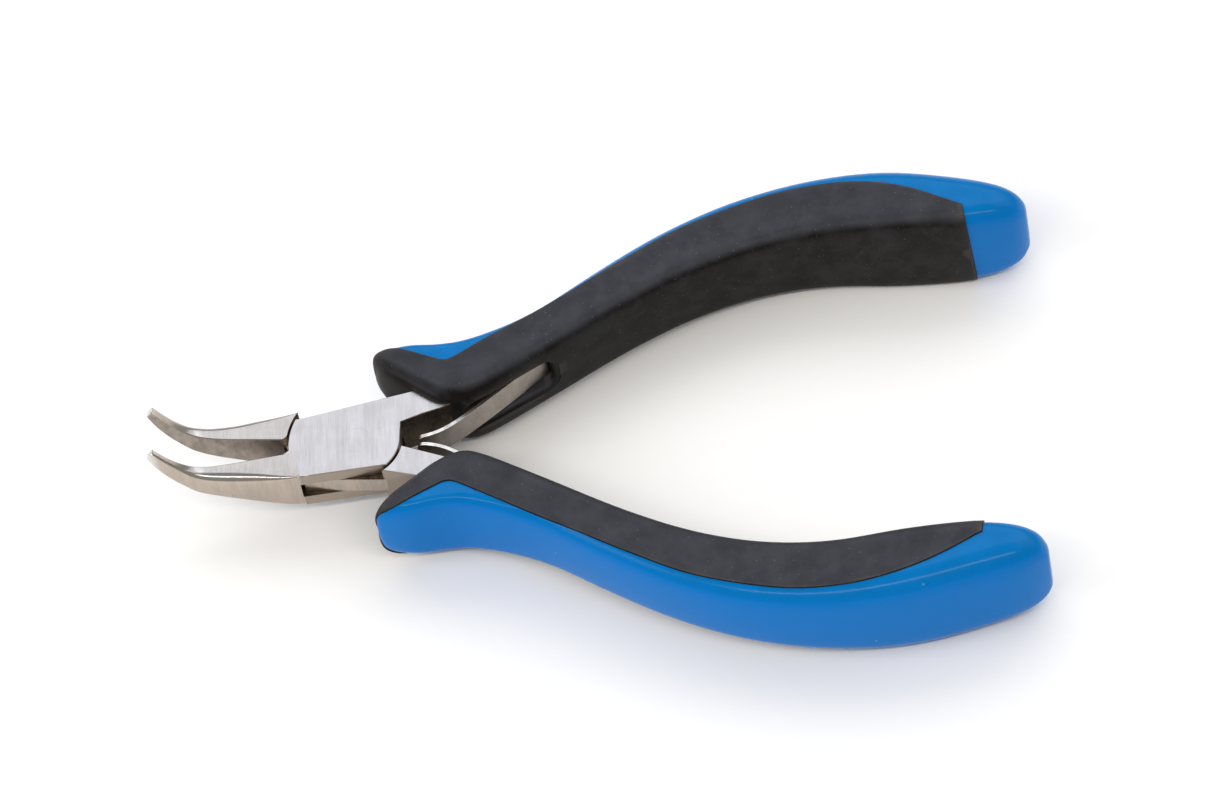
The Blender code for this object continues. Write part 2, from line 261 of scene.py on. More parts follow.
def useGroup(tree, group, **values):
    placed = tree.nodes.new("ShaderNodeGroup")
    placed.node_tree = group
    for name, value in values.items():
        feed(tree, placed.inputs[name], value)
    return placed.outputs


def scaledPlace(tree, scaleX, scaleYZ):
    # object coordinates, in lines or grains per metre
    place = addNode(tree, "TexCoord", {}).outputs["Object"]
    scale = addNode(tree, "CombineXYZ", {"X": scaleX, "Y": scaleYZ, "Z": scaleYZ}).outputs[0]
    return addNode(tree, "VectorMath", {0: place, 1: scale}, operation="MULTIPLY").outputs[0]


def noise(tree, vector, detail, roughness=0.6, distortion=0.0):
    feeds = {"Vector": vector, "Scale": 1.0, "Detail": detail}
    feeds.update({"Roughness": roughness, "Distortion": distortion})
    return addNode(tree, "TexNoise", feeds).outputs["Fac"]


def brushLinesGroup():
    # fine lines across the tool, left by the grinding belt
    inputs = {"Fineness": 5000.0, "Length": 12.0}
    group, given, result = newGroup("brushLines", inputs, ("Height", "Tone"))
    fineness = given.outputs["Fineness"]
    along = calc(group, "DIVIDE", fineness, given.outputs["Length"])
    lines = noise(group, scaledPlace(group, fineness, along), 3.0, 0.75)
    broad, broadAlong = calc(group, "DIVIDE", fineness, 4.0), calc(group, "DIVIDE", along, 3.0)
    bands = noise(group, scaledPlace(group, broad, broadAlong), 3.0, 0.7)
    feed(group, result.inputs["Height"], lines)
    feed(group, result.inputs["Tone"], remap(group, calc(group, "ADD", lines, bands), 0.75, 1.3))
    return group


def handlingWearGroup():
    # cloudy patches and stray scratches from use
    inputs = {"PatchScale": 300.0, "ScratchScale": 2500.0}
    group, given, result = newGroup("handlingWear", inputs, ("Patches", "Scratches"))
    patchScale, scratchScale = given.outputs["PatchScale"], given.outputs["ScratchScale"]
    patches = noise(group, scaledPlace(group, patchScale, patchScale), 5.0, 0.65, 0.4)
    stretched = calc(group, "DIVIDE", scratchScale, 14.0)
    scratches = noise(group, scaledPlace(group, stretched, scratchScale), 1.0, 0.5, 1.2)
    feed(group, result.inputs["Patches"], remap(group, patches, 0.35, 0.68))
    feed(group, result.inputs["Scratches"], remap(group, scratches, 0.68, 0.76))
    return group


def dustSpecksGroup():
    # sparse light specks
    group, given, result = newGroup("dustSpecks", {"Scale": 900.0, "Amount": 0.2}, ("Mask",))
    scale = given.outputs["Scale"]
    cells = addNode(group, "TexVoronoi", {"Vector": scaledPlace(group, scale, scale), "Scale": 1.0})
    chance = addNode(group, "SeparateColor", {"Color": cells.outputs["Color"]}).outputs["Red"]
    chosen = calc(group, "LESS_THAN", chance, given.outputs["Amount"])
    spot = remap(group, cells.outputs["Distance"], 0.05, 0.16, 1.0, 0.0)
    feed(group, result.inputs["Mask"], calc(group, "MULTIPLY", chosen, spot))
    return group


def mouldGrainGroup():
    # skin of a moulded grip
    group, given, result = newGroup("mouldGrain", {"Scale": 3000.0}, ("Height", "Tone"))
    scale = given.outputs["Scale"]
    slow = calc(group, "DIVIDE", scale, 12.0)
    fine = noise(group, scaledPlace(group, scale, scale), 3.0)
    cloudy = noise(group, scaledPlace(group, slow, slow), 4.0)
    feed(group, result.inputs["Height"], fine)
    feed(group, result.inputs["Tone"], remap(group, cloudy, 0.3, 0.7))
    return group


def paintedLightMaskGroup():
    # 1 on flat tops and undersides, 0 on the sides: the mask for painted light, where tops and sides take
    # different colours for how light falls on them
    group, given, result = newGroup("paintedLightMask", {"Low": 0.55, "High": 0.95}, ("PaintedTopShare",))
    normal = addNode(group, "TexCoord", {}).outputs["Normal"]
    height = calc(group, "ABSOLUTE", addNode(group, "SeparateXYZ", {"Vector": normal}).outputs["Z"])
    feed(group, result.inputs["PaintedTopShare"], remap(group, height, given.outputs["Low"], given.outputs["High"]))
    return group


def newMaterial(name):
    made = bpy.data.materials.new(name)
    made.use_nodes = True
    return made, made.node_tree, made.node_tree.nodes["Principled BSDF"]


def addBump(tree, shader, height, strength, distance):
    bump = addNode(tree, "Bump", {"Height": height, "Strength": strength, "Distance": distance * mm})
    tree.links.new(bump.outputs["Normal"], shader.inputs["Normal"])


def addWear(tree, look):
    scales = {"PatchScale": look["patchScale"], "ScratchScale": look["scratchScale"]}
    return useGroup(tree, groups["handlingWear"], **scales)


def steelMaterial(name, look):
    made, tree, shader = newMaterial(name)
    lines = useGroup(tree, groups["brushLines"], Fineness=look["lineFineness"], Length=look["lineLength"])
    wear = addWear(tree, look)
    topLightShare = useGroup(tree, groups["paintedLightMask"])["PaintedTopShare"]
    # painted light: the sides and the tops take different colours for how light falls on them
    colour = mixColour(tree, topLightShare, look["paintedSideColour"], look["paintedTopColour"])
    shade = calc(tree, "ADD", calc(tree, "MULTIPLY", lines["Tone"], look["lineShade"]),
                 calc(tree, "MULTIPLY", wear["Patches"], look["patchShade"]))
    colour = mixColour(tree, shade, colour, look["stainColour"])
    if "endRange" in look:
        # the colour changes along X towards one end: painted shade on the gripping faces near the box, and
        # a lighter polish at the jaw tips
        place = addNode(tree, "TexCoord", {}).outputs["Object"]
        along = addNode(tree, "SeparateXYZ", {"Vector": place}).outputs["X"]
        start, end = (x * mm for x in look["endRange"])
        share = calc(tree, "MULTIPLY", remap(tree, along, start, end), look["endShare"])
        colour = mixColour(tree, share, colour, look["endColour"])
    tree.links.new(colour, shader.inputs["Base Color"])
    shader.inputs["Metallic"].default_value = 1.0
    rough = calc(tree, "MULTIPLY_ADD", lines["Tone"], look["roughSpread"], look["rough"])
    rough = calc(tree, "MULTIPLY_ADD", wear["Patches"], look["roughSpread"], rough)
    tree.links.new(rough, shader.inputs["Roughness"])
    height = calc(tree, "SUBTRACT", lines["Height"], calc(tree, "MULTIPLY", wear["Scratches"], 0.6))
    addBump(tree, shader, height, look["bump"], 0.02)
    return made


def gripMaterial(name, look):
    made, tree, shader = newMaterial(name)
    grain = useGroup(tree, groups["mouldGrain"], Scale=look["grainScale"])
    wear = addWear(tree, look)
    dust = useGroup(tree, groups["dustSpecks"], Scale=look["dustScale"], Amount=look["dustAmount"])["Mask"]
    topLightShare = useGroup(tree, groups["paintedLightMask"], Low=0.35, High=0.9)["PaintedTopShare"]
    pointed = addNode(tree, "NewGeometry", {}).outputs["Pointiness"]
    edge = remap(tree, pointed, look["edgeLow"], look["edgeHigh"])
    colour = mixColour(tree, grain["Tone"], look["deepColour"], look["lightColour"])
    # painted light and shade: the sides take their own colour for how light falls on them
    colour = mixColour(tree, topLightShare, look["paintedSideColour"], colour)
    for mask, kind in ((wear["Patches"], "rubbed"), (edge, "edge"), (dust, "dust")):
        share = calc(tree, "MULTIPLY", mask, look[kind + "Share"])
        colour = mixColour(tree, share, colour, look[kind + "Colour"])
    tree.links.new(colour, shader.inputs["Base Color"])
    rough = calc(tree, "MULTIPLY_ADD", wear["Patches"], look["roughSpread"], look["rough"])
    tree.links.new(calc(tree, "MULTIPLY_ADD", dust, 0.2, rough), shader.inputs["Roughness"])
    shader.inputs["Specular IOR Level"].default_value = look["specular"]
    scratches = calc(tree, "MULTIPLY", wear["Scratches"], look["scratchDepth"])
    addBump(tree, shader, calc(tree, "SUBTRACT", grain["Height"], scratches), look["bump"], 0.03)
    return made


groups = {
    "brushLines": brushLinesGroup(),
    "handlingWear": handlingWearGroup(),
    "dustSpecks": dustSpecksGroup(),
    "mouldGrain": mouldGrainGroup(),
    "paintedLightMask": paintedLightMaskGroup(),
}

# Finenesses and scales count lines, patches or grains in a metre. Shares and shades run from 0 to 1.
# The side and top colours paint light and shade: each face takes one by which way it faces, for how light
# falls on it.
groundLook = {
    "paintedTopColour": (0.48, 0.475, 0.50), "paintedSideColour": (0.385, 0.315, 0.25),
    "stainColour": (0.32, 0.305, 0.30),
    "lineFineness": 5600.0, "lineLength": 22.0, "lineShade": 0.30, "patchScale": 240.0, "patchShade": 0.12,
    "scratchScale": 3000.0, "rough": 0.27, "roughSpread": 0.06, "bump": 0.34,
}
jawLook = {
    "paintedTopColour": (0.415, 0.40, 0.405), "paintedSideColour": (0.53, 0.455, 0.385),
    "stainColour": (0.32, 0.29, 0.265),
    "lineFineness": 2900.0, "lineLength": 10.0, "lineShade": 0.34, "patchScale": 210.0, "patchShade": 0.18,
    "scratchScale": 2600.0, "rough": 0.16, "roughSpread": 0.07, "bump": 0.22,
    "endRange": (-27.4, -28.9), "endShare": 0.75, "endColour": (0.80, 0.78, 0.76),
}
gripFaceLook = {
    "paintedTopColour": (0.45, 0.40, 0.35), "paintedSideColour": (0.40, 0.35, 0.30),
    "stainColour": (0.24, 0.20, 0.17),
    "lineFineness": 3600.0, "lineLength": 5.0, "lineShade": 0.35, "patchScale": 420.0, "patchShade": 0.5,
    "scratchScale": 2200.0, "rough": 0.36, "roughSpread": 0.1, "bump": 0.3,
    # painted shade: the gripping faces darken towards the box, where the jaws close in on each other
    "endRange": (-17.0, -9.5), "endShare": 0.8, "endColour": (0.10, 0.075, 0.055),
}
# painted shade: this dark brown stands in for the shade in the throat behind the joint, on the tongue's
# faces and walls inside the window, and on the leaf rivets deep in their slots
paintedShadeLook = {
    "paintedTopColour": (0.15, 0.115, 0.085), "paintedSideColour": (0.17, 0.13, 0.095),
    "stainColour": (0.05, 0.036, 0.025),
    "lineFineness": 2600.0, "lineLength": 5.0, "lineShade": 0.4, "patchScale": 500.0, "patchShade": 0.6,
    "scratchScale": 1800.0, "rough": 0.42, "roughSpread": 0.12, "bump": 0.4,
}
springLook = {
    "paintedTopColour": (0.80, 0.79, 0.80), "paintedSideColour": (0.42, 0.38, 0.34),
    "stainColour": (0.28, 0.245, 0.215),
    "lineFineness": 4200.0, "lineLength": 9.0, "lineShade": 0.3, "patchScale": 500.0, "patchShade": 0.35,
    "scratchScale": 2600.0, "rough": 0.30, "roughSpread": 0.08, "bump": 0.25,
}
blueLook = {
    "deepColour": (0.0, 0.148, 0.43), "lightColour": (0.0, 0.163, 0.475),
    "paintedSideColour": (0.0, 0.172, 0.555),
    "rubbedColour": (0.0, 0.165, 0.48), "rubbedShare": 0.25,
    "edgeColour": (0.02, 0.22, 0.56), "edgeLow": 0.54, "edgeHigh": 0.64, "edgeShare": 0.2,
    "dustColour": (0.42, 0.55, 0.75), "dustScale": 650.0, "dustAmount": 0.03, "dustShare": 0.25,
    "grainScale": 4200.0, "patchScale": 170.0, "scratchScale": 2400.0, "scratchDepth": 0.3,
    "rough": 0.16, "roughSpread": 0.04, "specular": 0.10, "bump": 0.025,
}
blackLook = {
    "deepColour": (0.027, 0.029, 0.037), "lightColour": (0.044, 0.046, 0.056),
    "paintedSideColour": (0.006, 0.004, 0.0025),
    "rubbedColour": (0.042, 0.044, 0.049), "rubbedShare": 0.4,
    "edgeColour": (0.15, 0.11, 0.08), "edgeLow": 0.508, "edgeHigh": 0.56, "edgeShare": 0.2,
    "dustColour": (0.22, 0.21, 0.19), "dustScale": 1500.0, "dustAmount": 0.3, "dustShare": 0.5,
    "grainScale": 3600.0, "patchScale": 240.0, "scratchScale": 2000.0, "scratchDepth": 0.8,
    "rough": 0.44, "roughSpread": 0.12, "specular": 0.13, "bump": 0.26,
}
steels = {
    "ground": steelMaterial("groundSteel", groundLook),
    "jaw": steelMaterial("jawSteel", jawLook),
    "gripFace": steelMaterial("gripFaceSteel", gripFaceLook),
    "inner": steelMaterial("paintedShadeSteel", paintedShadeLook),
    "spring": steelMaterial("springSteel", springLook),
}
bluePlastic = gripMaterial("bluePlastic", blueLook)
blackRubber = gripMaterial("blackRubber", blackLook)
print("materials ready")


cameraPlan = {
    "azimuth": 8.78, "elevation": 55.9, "roll": -12.46,    # degrees
    "aim": (35.72, 5.09, 3.0), "distance": 1220.5, "lens": 252.6,    # millimetres
}


def directionTo(azimuth, elevation):
    # in radians: azimuth 0 is the front, and a quarter turn the handles' ends
    level = Vector((math.sin(azimuth), -math.cos(azimuth), 0))
    return level * math.cos(elevation) + Vector((0, 0, math.sin(elevation)))


def addCamera():
    azimuth, elevation, roll = (math.radians(cameraPlan[key]) for key in ("azimuth", "elevation", "roll"))
    level = Vector((math.cos(azimuth), math.sin(azimuth), 0))
    back = directionTo(azimuth, elevation)
    right = level * math.cos(roll) + back.cross(level) * math.sin(roll)
    turn = Matrix((right, back.cross(right), back)).transposed().to_4x4()
    place = (Vector(cameraPlan["aim"]) + back * cameraPlan["distance"]) * mm
    data = bpy.data.cameras.new("camera")
    data.lens = cameraPlan["lens"]
    data.clip_start, data.clip_end = 0.05, 20
    camera = bpy.data.objects.new("camera", data)
    camera.matrix_world = Matrix.Translation(place) @ turn
    bpy.context.collection.objects.link(camera)
    bpy.context.scene.camera = camera


floorPlan = {"size": 3.0, "colour": (0.97, 0.97, 0.97, 1), "rough": 0.9}


def addFloor():
    mesh = bmesh.new()
    bmesh.ops.create_grid(mesh, x_segments=4, y_segments=4, size=floorPlan["size"])
    bmesh.ops.translate(mesh, vec=(0, 0, cadBox[0].z), verts=mesh.verts)
    data = bpy.data.meshes.new("floor")
    mesh.to_mesh(data)
    mesh.free()
    floor = bpy.data.objects.new("floor", data)
    bpy.context.collection.objects.link(floor)
    paper, tree, shader = newMaterial("paleFloor")
    shader.inputs["Base Color"].default_value = floorPlan["colour"]
    shader.inputs["Roughness"].default_value = floorPlan["rough"]
    data.materials.append(paper)


# Direction to each light in degrees, distance and size in metres, power in watts
studioLights = {
    "overhead": {"azimuth": 184, "elevation": 48, "distance": 1.6, "size": (2.5, 1.3),
                 "power": 13.2, "colour": (0.98, 0.99, 1)},
    "front": {"azimuth": 6, "elevation": 62, "distance": 1.5, "size": (1.7, 0.09),
              "power": 8.8, "colour": (1, 0.93, 0.84)},
    "right": {"azimuth": 118, "elevation": 42, "distance": 1.7, "size": (1.1, 1.1),
              "power": 3.6, "colour": (1, 1, 1)},
    "left": {"azimuth": 285, "elevation": 34, "distance": 1.6, "size": (0.9, 0.9),
             "power": 8.0, "colour": (1, 1, 1)},
}
studio = {"aim": (0.035, 0, 0), "colour": (0.98, 0.99, 1.0, 1), "strength": 0.42}


def addLights():
    for name, plan in studioLights.items():
        data = bpy.data.lights.new(name, "AREA")
        data.shape = "RECTANGLE"
        data.size, data.size_y = plan["size"]
        data.energy = plan["power"]
        data.color = plan["colour"]
        out = directionTo(math.radians(plan["azimuth"]), math.radians(plan["elevation"]))
        lamp = bpy.data.objects.new(name, data)
        lamp.location = Vector(studio["aim"]) + out * plan["distance"]
        lamp.rotation_euler = out.to_track_quat("Z", "Y").to_euler()
        bpy.context.collection.objects.link(lamp)


def addWorld():
    world = bpy.data.worlds.new("studio")
    world.use_nodes = True
    sky = world.node_tree.nodes["Background"]
    sky.inputs["Color"].default_value = studio["colour"]
    sky.inputs["Strength"].default_value = studio["strength"]
    bpy.context.scene.world = world
    bpy.context.scene.view_settings.view_transform = "Standard"


addCamera()
addFloor()
addLights()
addWorld()
print("camera, floor and lights ready")


head = {
    "rivetRadius": 2.0,
    "rivetEdge": 0.006,
    "boxBore": {"fit": 0.004, "steps": 96},    # room round the rivet and corners of the circle
    "tongueBore": {"fit": 0.1, "steps": 64},
    "frontShoulder": 10.2,      # radius of the tongue half's shoulder in front of the box
    "rearShoulder": 6.6,        # radius of the tongue half's shoulder behind the box
    "tongueFront": 9.2,         # radius of the tongue's lower front edge
    "windowFront": 10.0,        # radius of the window's front end
    "tongueHalf": 1.45,
    "tongueRoom": 0.1,          # between the tongue and the window's top and underside
    "jawGap": 0.1,              # from each gripping face to the closing plane
    "jawLip": 0.14,             # rounding of a jaw's other three corners
    "tangHalf": 2.5,
    "tangEnd": (14.6, 3.5),     # inner corner where the neck steps down to the tang
    "edge": 0.12,               # broken edges of the ground faces
    "boreReach": 5.0,           # half height of the cylinder that cuts the bore
    "rootReach": 8.0,           # half height of the block that cuts the upper jaw's root
}

# Jaw sections: top X, top Z, bottom X, bottom Z, width, rounding of the outer top edge
# Only their roots differ: -1 is the box half's jaw and 1 the tongue half's
jawRoots = {-1: (-7.5, 3.65, -7.5, -3.65, 4.6, 0.05), 1: (-7.5, 3.65, -7.5, -3.65, 5.2, 0.05)}
jawSections = [
    (-11.0, 3.65, -11.0, -3.3, 4.35, 0.55),
    (-14.5, 3.65, -14.4, -2.55, 3.75, 1.1),
    (-18.0, 3.65, -17.8, -1.7, 3.05, 1.35),
    (-21.0, 3.85, -21.0, -0.75, 2.45, 1.25),
    (-23.0, 4.4, -23.6, 0.45, 2.05, 1.05),
    (-24.6, 5.4, -25.4, 2.15, 1.7, 0.85),
    (-26.2, 7.1, -27.2, 4.45, 1.45, 0.6),
    (-27.5, 9.0, -28.6, 7.0, 1.3, 0.5),
    (-28.6, 10.9, -29.6, 9.6, 1.2, 0.42),
]

# Rings that round the jaw's tip: how far each stands back from it, and how far in
jawTip = [(0.30, 0.0), (0.12, 0.05), (0.03, 0.14), (0.0, 0.28)]

# Tang centre line and width
tangPath = [
    (11.0, 4.75, 4.0), (14.4, 5.75, 3.8), (17.2, 7.0, 3.0), (20.4, 8.45, 2.6), (28.5, 12.1, 2.6),
    (38.4, 16.6, 2.6), (48.4, 20.3, 2.6), (58.9, 23.0, 2.6), (69.9, 23.8, 2.6), (79.5, 22.3, 2.2),
]


def jawRing(values, side, inset=0.0):
    topX, topZ, lowX, lowZ, width, rounding = values
    low = Vector((lowX, 0, lowZ))
    up = Vector((topX, 0, topZ)) - low
    height = up.length - inset
    up.normalize()
    inner, outer = head["jawGap"] + inset, width - inset
    lip = min(head["jawLip"], height * 0.1)
    corners = [(inner, inset + lip), (inner, height - lip), (inner + lip, height)]
    turns = [math.radians(90 - 15 * i) for i in range(7)]
    centreU, centreV = outer - rounding, height - rounding
    corners += [(centreU + rounding * math.cos(a), centreV + rounding * math.sin(a)) for a in turns]
    corners += [(outer, inset + 2 * lip), (outer - 2 * lip, inset), (inner + lip, inset)]
    return [low + up * v + Vector((0, side * u, 0)) for u, v in corners]


def jawMesh(side):
    sections = smoothRun([jawRoots[side], *jawSections], 6)
    tip = sections[-1]
    forward = Vector((tip[2] - sections[-2][2], 0, tip[3] - sections[-2][3])).normalized()
    rings = [jawRing(values, side) for values in sections[:-1]]
    rings += [[point - forward * back for point in jawRing(tip, side, inset)] for back, inset in jawTip]
    return loftMesh(rings)


def edgedPrism(outline, half):
    # a plate with its top and bottom edges broken
    edge = head["edge"]
    levels = ((-half, -edge), (edge - half, 0), (half - edge, 0), (half, -edge))
    return loftMesh([[Vector((x, y, z)) for x, y in growOutline(outline, more)] for z, more in levels])


def boreMesh(bore):
    circle = discOutline(head["rivetRadius"] + bore["fit"], bore["steps"])
    return prismMesh(circle, -head["boreReach"], head["boreReach"])


def neckOutline():
    return [(8.0, 2.1), (12.57, 2.9), head["tangEnd"], (13.4, 7.6), (10.3, 6.81), (8.0, 6.5)]


def boxOutline():
    front = arcPoints(head["frontShoulder"] - pliers["fit"], 146.5, 178.0, 16)
    rear = arcPoints(head["rearShoulder"] - pliers["fit"], -53.0, -10.0, 20)
    neck = [(6.67, 1.76), (9.82, 2.5), (12.57, 2.9), head["tangEnd"], (13.4, 7.6), (10.3, 6.81)]
    return [(-8.8, -4.55), *rear, *neck, (-6.7, 5.45), *front, (-10.6, -head["jawGap"]), (-9.0, -1.5)]


def shoulderOutline():
    face = arcPoints(head["rearShoulder"], 51.0, 7.2, 20)
    return [*face, (13.05, 2.7), head["tangEnd"], (13.4, 7.6), (8.97, 5.94)]


def tongueOutline():
    front = arcPoints(head["tongueFront"], 177.5, 215.2, 14)
    return [*front, (4.0, -5.3), (7.6, -4.4), (8.0, -1.6), (6.3, -0.9), (0.8, 5.6), (-7.0, 5.35),
            (-8.7, 4.9), (-11.4, 3.4), (-11.4, 0.45)]


def jawRootRoom():
    # what the box takes out of the upper jaw's root
    shoulder = arcPoints(head["frontShoulder"], 100.0, 176.0, 40)
    return [(-9.3, -1.5), (0.0, -1.5), *shoulder, (-11.1, -head["jawGap"])]


def windowOutline():
    front = arcPoints(head["windowFront"], 179.0, 214.0, 14)
    return [*front, (-7.4, -8.0), (9.0, -8.0), (9.0, 0.8), (4.6, 1.3), (2.2, 5.45), (0.8, 8.0),
            (-12.0, 8.0), (-12.0, 0.12)]


def tangOutline(gap=0.0):
    path = smoothRun(tangPath, 4)
    left = sideStep(path, lambda point: point[2] / 2 + gap)
    right = sideStep(path, lambda point: -point[2] / 2 - gap)
    for edge in (left, right):
        edge[-1] = (edge[-1][0] + gap, edge[-1][1])
    return right + left[::-1]


def paintSteel(piece, half, side):
    # each face is told by where it lies with the pliers closed
    lower = Matrix.Translation((0, 0, -pliers["middle"] * mm))
    back = Matrix.Rotation(-math.radians(half["turn"]), 4, "Z") @ lower
    for finish in (steels["ground"], steels["jaw"], steels["gripFace"], steels["inner"]):
        if finish.name not in piece.data.materials:
            piece.data.materials.append(finish)
    names = [finish.name for finish in piece.data.materials]
    for face in piece.data.polygons:
        centre = back @ face.center / mm
        normal = back.to_3x3() @ face.normal
        gripping = abs(centre.y) < 0.35 and centre.x < -9.2 and abs(normal.y) > 0.9
        # faces behind the joint and the tongue's top and underside take the dark steel that paints their
        # shade
        behindJoint = centre.x > 6.4 and centre.y * side > 0.5 and normal.y * side < -0.5
        onTongue = side < 0 and abs(centre.z) < head["tongueHalf"] + 0.05 and abs(normal.z) > 0.9
        if gripping:
            face.material_index = names.index("gripFaceSteel")
        elif behindJoint or onTongue:
            face.material_index = names.index("paintedShadeSteel")


def finishHalf(piece, half, side):
    combine(piece, "UNION", prismMesh(tangOutline(), -head["tangHalf"], head["tangHalf"]), half)
    paintSteel(piece, half, side)
    shadePiece(piece, 32)
    node = "box_half" if side > 0 else "tongue_half"
    finishPiece(piece, half["body"], node)


def makeBoxHalf():
    half = halves["upper"]
    piece = addMesh("boxHalf", edgedPrism(boxOutline(), pliers["steelHalf"]), half)
    piece.data.materials.append(steels["ground"])
    combine(piece, "UNION", jawMesh(-1), half, steels["jaw"])
    room = head["tongueHalf"] + head["tongueRoom"]
    # the window's walls take the dark steel that paints their shade
    combine(piece, "DIFFERENCE", prismMesh(windowOutline(), -room, room), half, steels["inner"])
    combine(piece, "DIFFERENCE", boreMesh(head["boxBore"]), half)
    finishHalf(piece, half, 1)


def makeTongueHalf():
    # the jaw and the tongue are drawn in place, the shoulder and the tang are mirrored
    lower = halves["lower"]
    half = dict(lower, mirrored=False)
    piece = addMesh("tongueHalf", jawMesh(1), half)
    piece.data.materials.append(steels["jaw"])
    combine(piece, "DIFFERENCE", prismMesh(jawRootRoom(), -head["rootReach"], head["rootReach"]), half)
    combine(piece, "UNION", prismMesh(tongueOutline(), -head["tongueHalf"], head["tongueHalf"]), half)
    combine(piece, "UNION", edgedPrism(shoulderOutline(), pliers["steelHalf"]), lower, steels["ground"])
    combine(piece, "DIFFERENCE", boreMesh(head["tongueBore"]), half)
    finishHalf(piece, lower, -1)


def makePivotRivet():
    # turned profile from its top to its foot, ground flush with the box
    radius, end, edge = head["rivetRadius"], pliers["steelHalf"], head["rivetEdge"]
    profile = [(0, end), (radius - edge, end), (radius, end - edge)]
    profile += [(x, -z) for x, z in reversed(profile)]
    mesh = bmesh.new()
    points = [mesh.verts.new((x, 0, z)) for x, z in profile]
    for a, b in zip(points, points[1:]):
        mesh.edges.new((a, b))
    piece = addMesh("pivotRivet", mesh, halves["upper"])
    turning = piece.modifiers.new("Screw", "SCREW")
    turning.steps = turning.render_steps = head["boxBore"]["steps"]
    turning.use_merge_vertices = True
    turning.merge_threshold = 0.01 * mm
    applyStack(piece)
    piece.data.materials.append(steels["ground"])
    shadePiece(piece, 32)
    finishPiece(piece, "box_side", "pivot_rivet")


makeBoxHalf()
makeTongueHalf()
makePivotRivet()
print("steel head ready")


leaf = {
    "thick": 0.55, "halfWidth": 2.25, "endRound": 1.1, "edge": 0.1,
    "rivetRadius": 0.6, "rivetFit": 0.05, "rivetFoot": -1.3,
    "headRadius": 1.15, "headLow": 1.2, "headRise": 0.3,
    "rootStart": (29.0, 10.9), "rootEnd": (33.2, 12.81),     # the root's run on the tang's face
    "rivetAt": 0.57,                                         # where the rivet sits along that run
    "roomBefore": 2.1,                                       # room in the grip before the root
    "bendStart": (29.0, 10.25), "bendEnd": (14.0, 1.0),      # ends of the stretch of the leaf that flexes when the handles close
}

# Leaf centre line from its free end to its riveted root
leafPath = [
    (8.5, -0.35), (10.4, -0.25), (12.4, 0.2), (14.5, 1.15), (17.7, 3.0), (21.5, 5.35),
    (24.2, 7.1), (26.6, 8.75), (29.0, 10.25), (31.0, 11.18), (33.0, 12.09),
]


def faceFrame(start, end):
    # X along a run in plan, Y along Z, and Z out of the grip's inner face
    along = (Vector((*end, 0)) - Vector((*start, 0))).normalized()
    turn = Matrix((along, (0, 0, 1), Vector((along.y, -along.x, 0)))).transposed().to_4x4()
    return Matrix.Translation(Vector((*start, 0))) @ turn


def rootLength():
    return (Vector(leaf["rootEnd"]) - Vector(leaf["rootStart"])).length


def rivetSpot():
    along = rootLength() * leaf["rivetAt"]
    return faceFrame(leaf["rootStart"], leaf["rootEnd"]) @ Matrix.Translation((along, 0, 0))


def leafSheet():
    # a bent strip that narrows in an arc to its free end
    path = smoothRun(leafPath, 4)
    mesh = bmesh.new()
    rows = []
    length = 0.0
    for i, point in enumerate(path):
        if i:
            length += (Vector(point) - Vector(path[i - 1])).length
        share = min(1.0, length / leaf["endRound"])
        wide = leaf["halfWidth"] - leaf["endRound"] * (1 - math.sqrt(1 - (1 - share) ** 2))
        rows.append([mesh.verts.new((*point, wide * k / 3)) for k in (-3, -2, 0, 2, 3)])
    for row, following in zip(rows, rows[1:]):
        for i in range(4):
            mesh.faces.new((row[i], row[i + 1], following[i + 1], following[i]))
    return mesh


def makeLeaf(level):
    half = halves[level]
    piece = addMesh(f"leafSpring.{level}", leafSheet(), half)
    piece.data.materials.append(steels["spring"])
    sheet = piece.modifiers.new("Solidify", "SOLIDIFY")
    sheet.thickness = leaf["thick"] * mm
    sheet.offset = 0
    applyStack(piece)
    hole = prismMesh(discOutline(leaf["rivetRadius"] + leaf["rivetFit"], 24), -1, 3, rivetSpot())
    combine(piece, "DIFFERENCE", hole, half)
    shadePiece(piece, 40)
    addBevel(piece, leaf["edge"], 2, 50)
    applyStack(piece)
    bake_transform(piece)
    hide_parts(f"leaf_spring_{level}")


def makeLeafRivet(level):
    half = halves[level]
    radius, low, spot = leaf["headRadius"], leaf["headLow"], rivetSpot()
    profile = [(leaf["rivetRadius"], leaf["rivetFoot"]), (leaf["rivetRadius"], low)]
    dome = [math.radians(15 * i) for i in range(6)]
    profile += [(radius * math.cos(a), low + leaf["headRise"] * math.sin(a)) for a in dome]
    rings = [[spot @ Vector((x, y, z)) for x, y in discOutline(r, 32)] for r, z in profile]
    piece = addMesh(f"leafRivet.{level}", loftMesh(rings), half)
    # the dark steel paints the shade that the rivet head sits in
    piece.data.materials.append(steels["inner"])
    shadePiece(piece, 40)
    addBevel(piece, leaf["edge"] / 2, 2, 50)
    finishPiece(piece, half["body"], f"leaf_rivet_{level}")


for level in halves:
    makeLeaf(level)
    makeLeafRivet(level)
print("leaf springs ready")


grip = {
    "skin": 3.4,                      # thickness of the soft insert over the hard core
    "proud": 0.28,                    # how far the insert stands above the shell
    "crown": 0.18,                    # bow of the sides between their corners
    "front": (-0.69, -0.72, 0),       # direction that the collar faces
    "cut": 91.05,                     # cross cut where the insert ends
    "cutLean": 0.85,                  # how far the cut leans over the whole height
    "wrap": 2.3,                      # how far the shell wraps round the collar's front at mid height
    "wrapPulls": (1.2, 0.75, 0.12),   # share of the wrap at the edge's first points
    "wrapSlant": 0.35,                # how far that also moves them forward
}

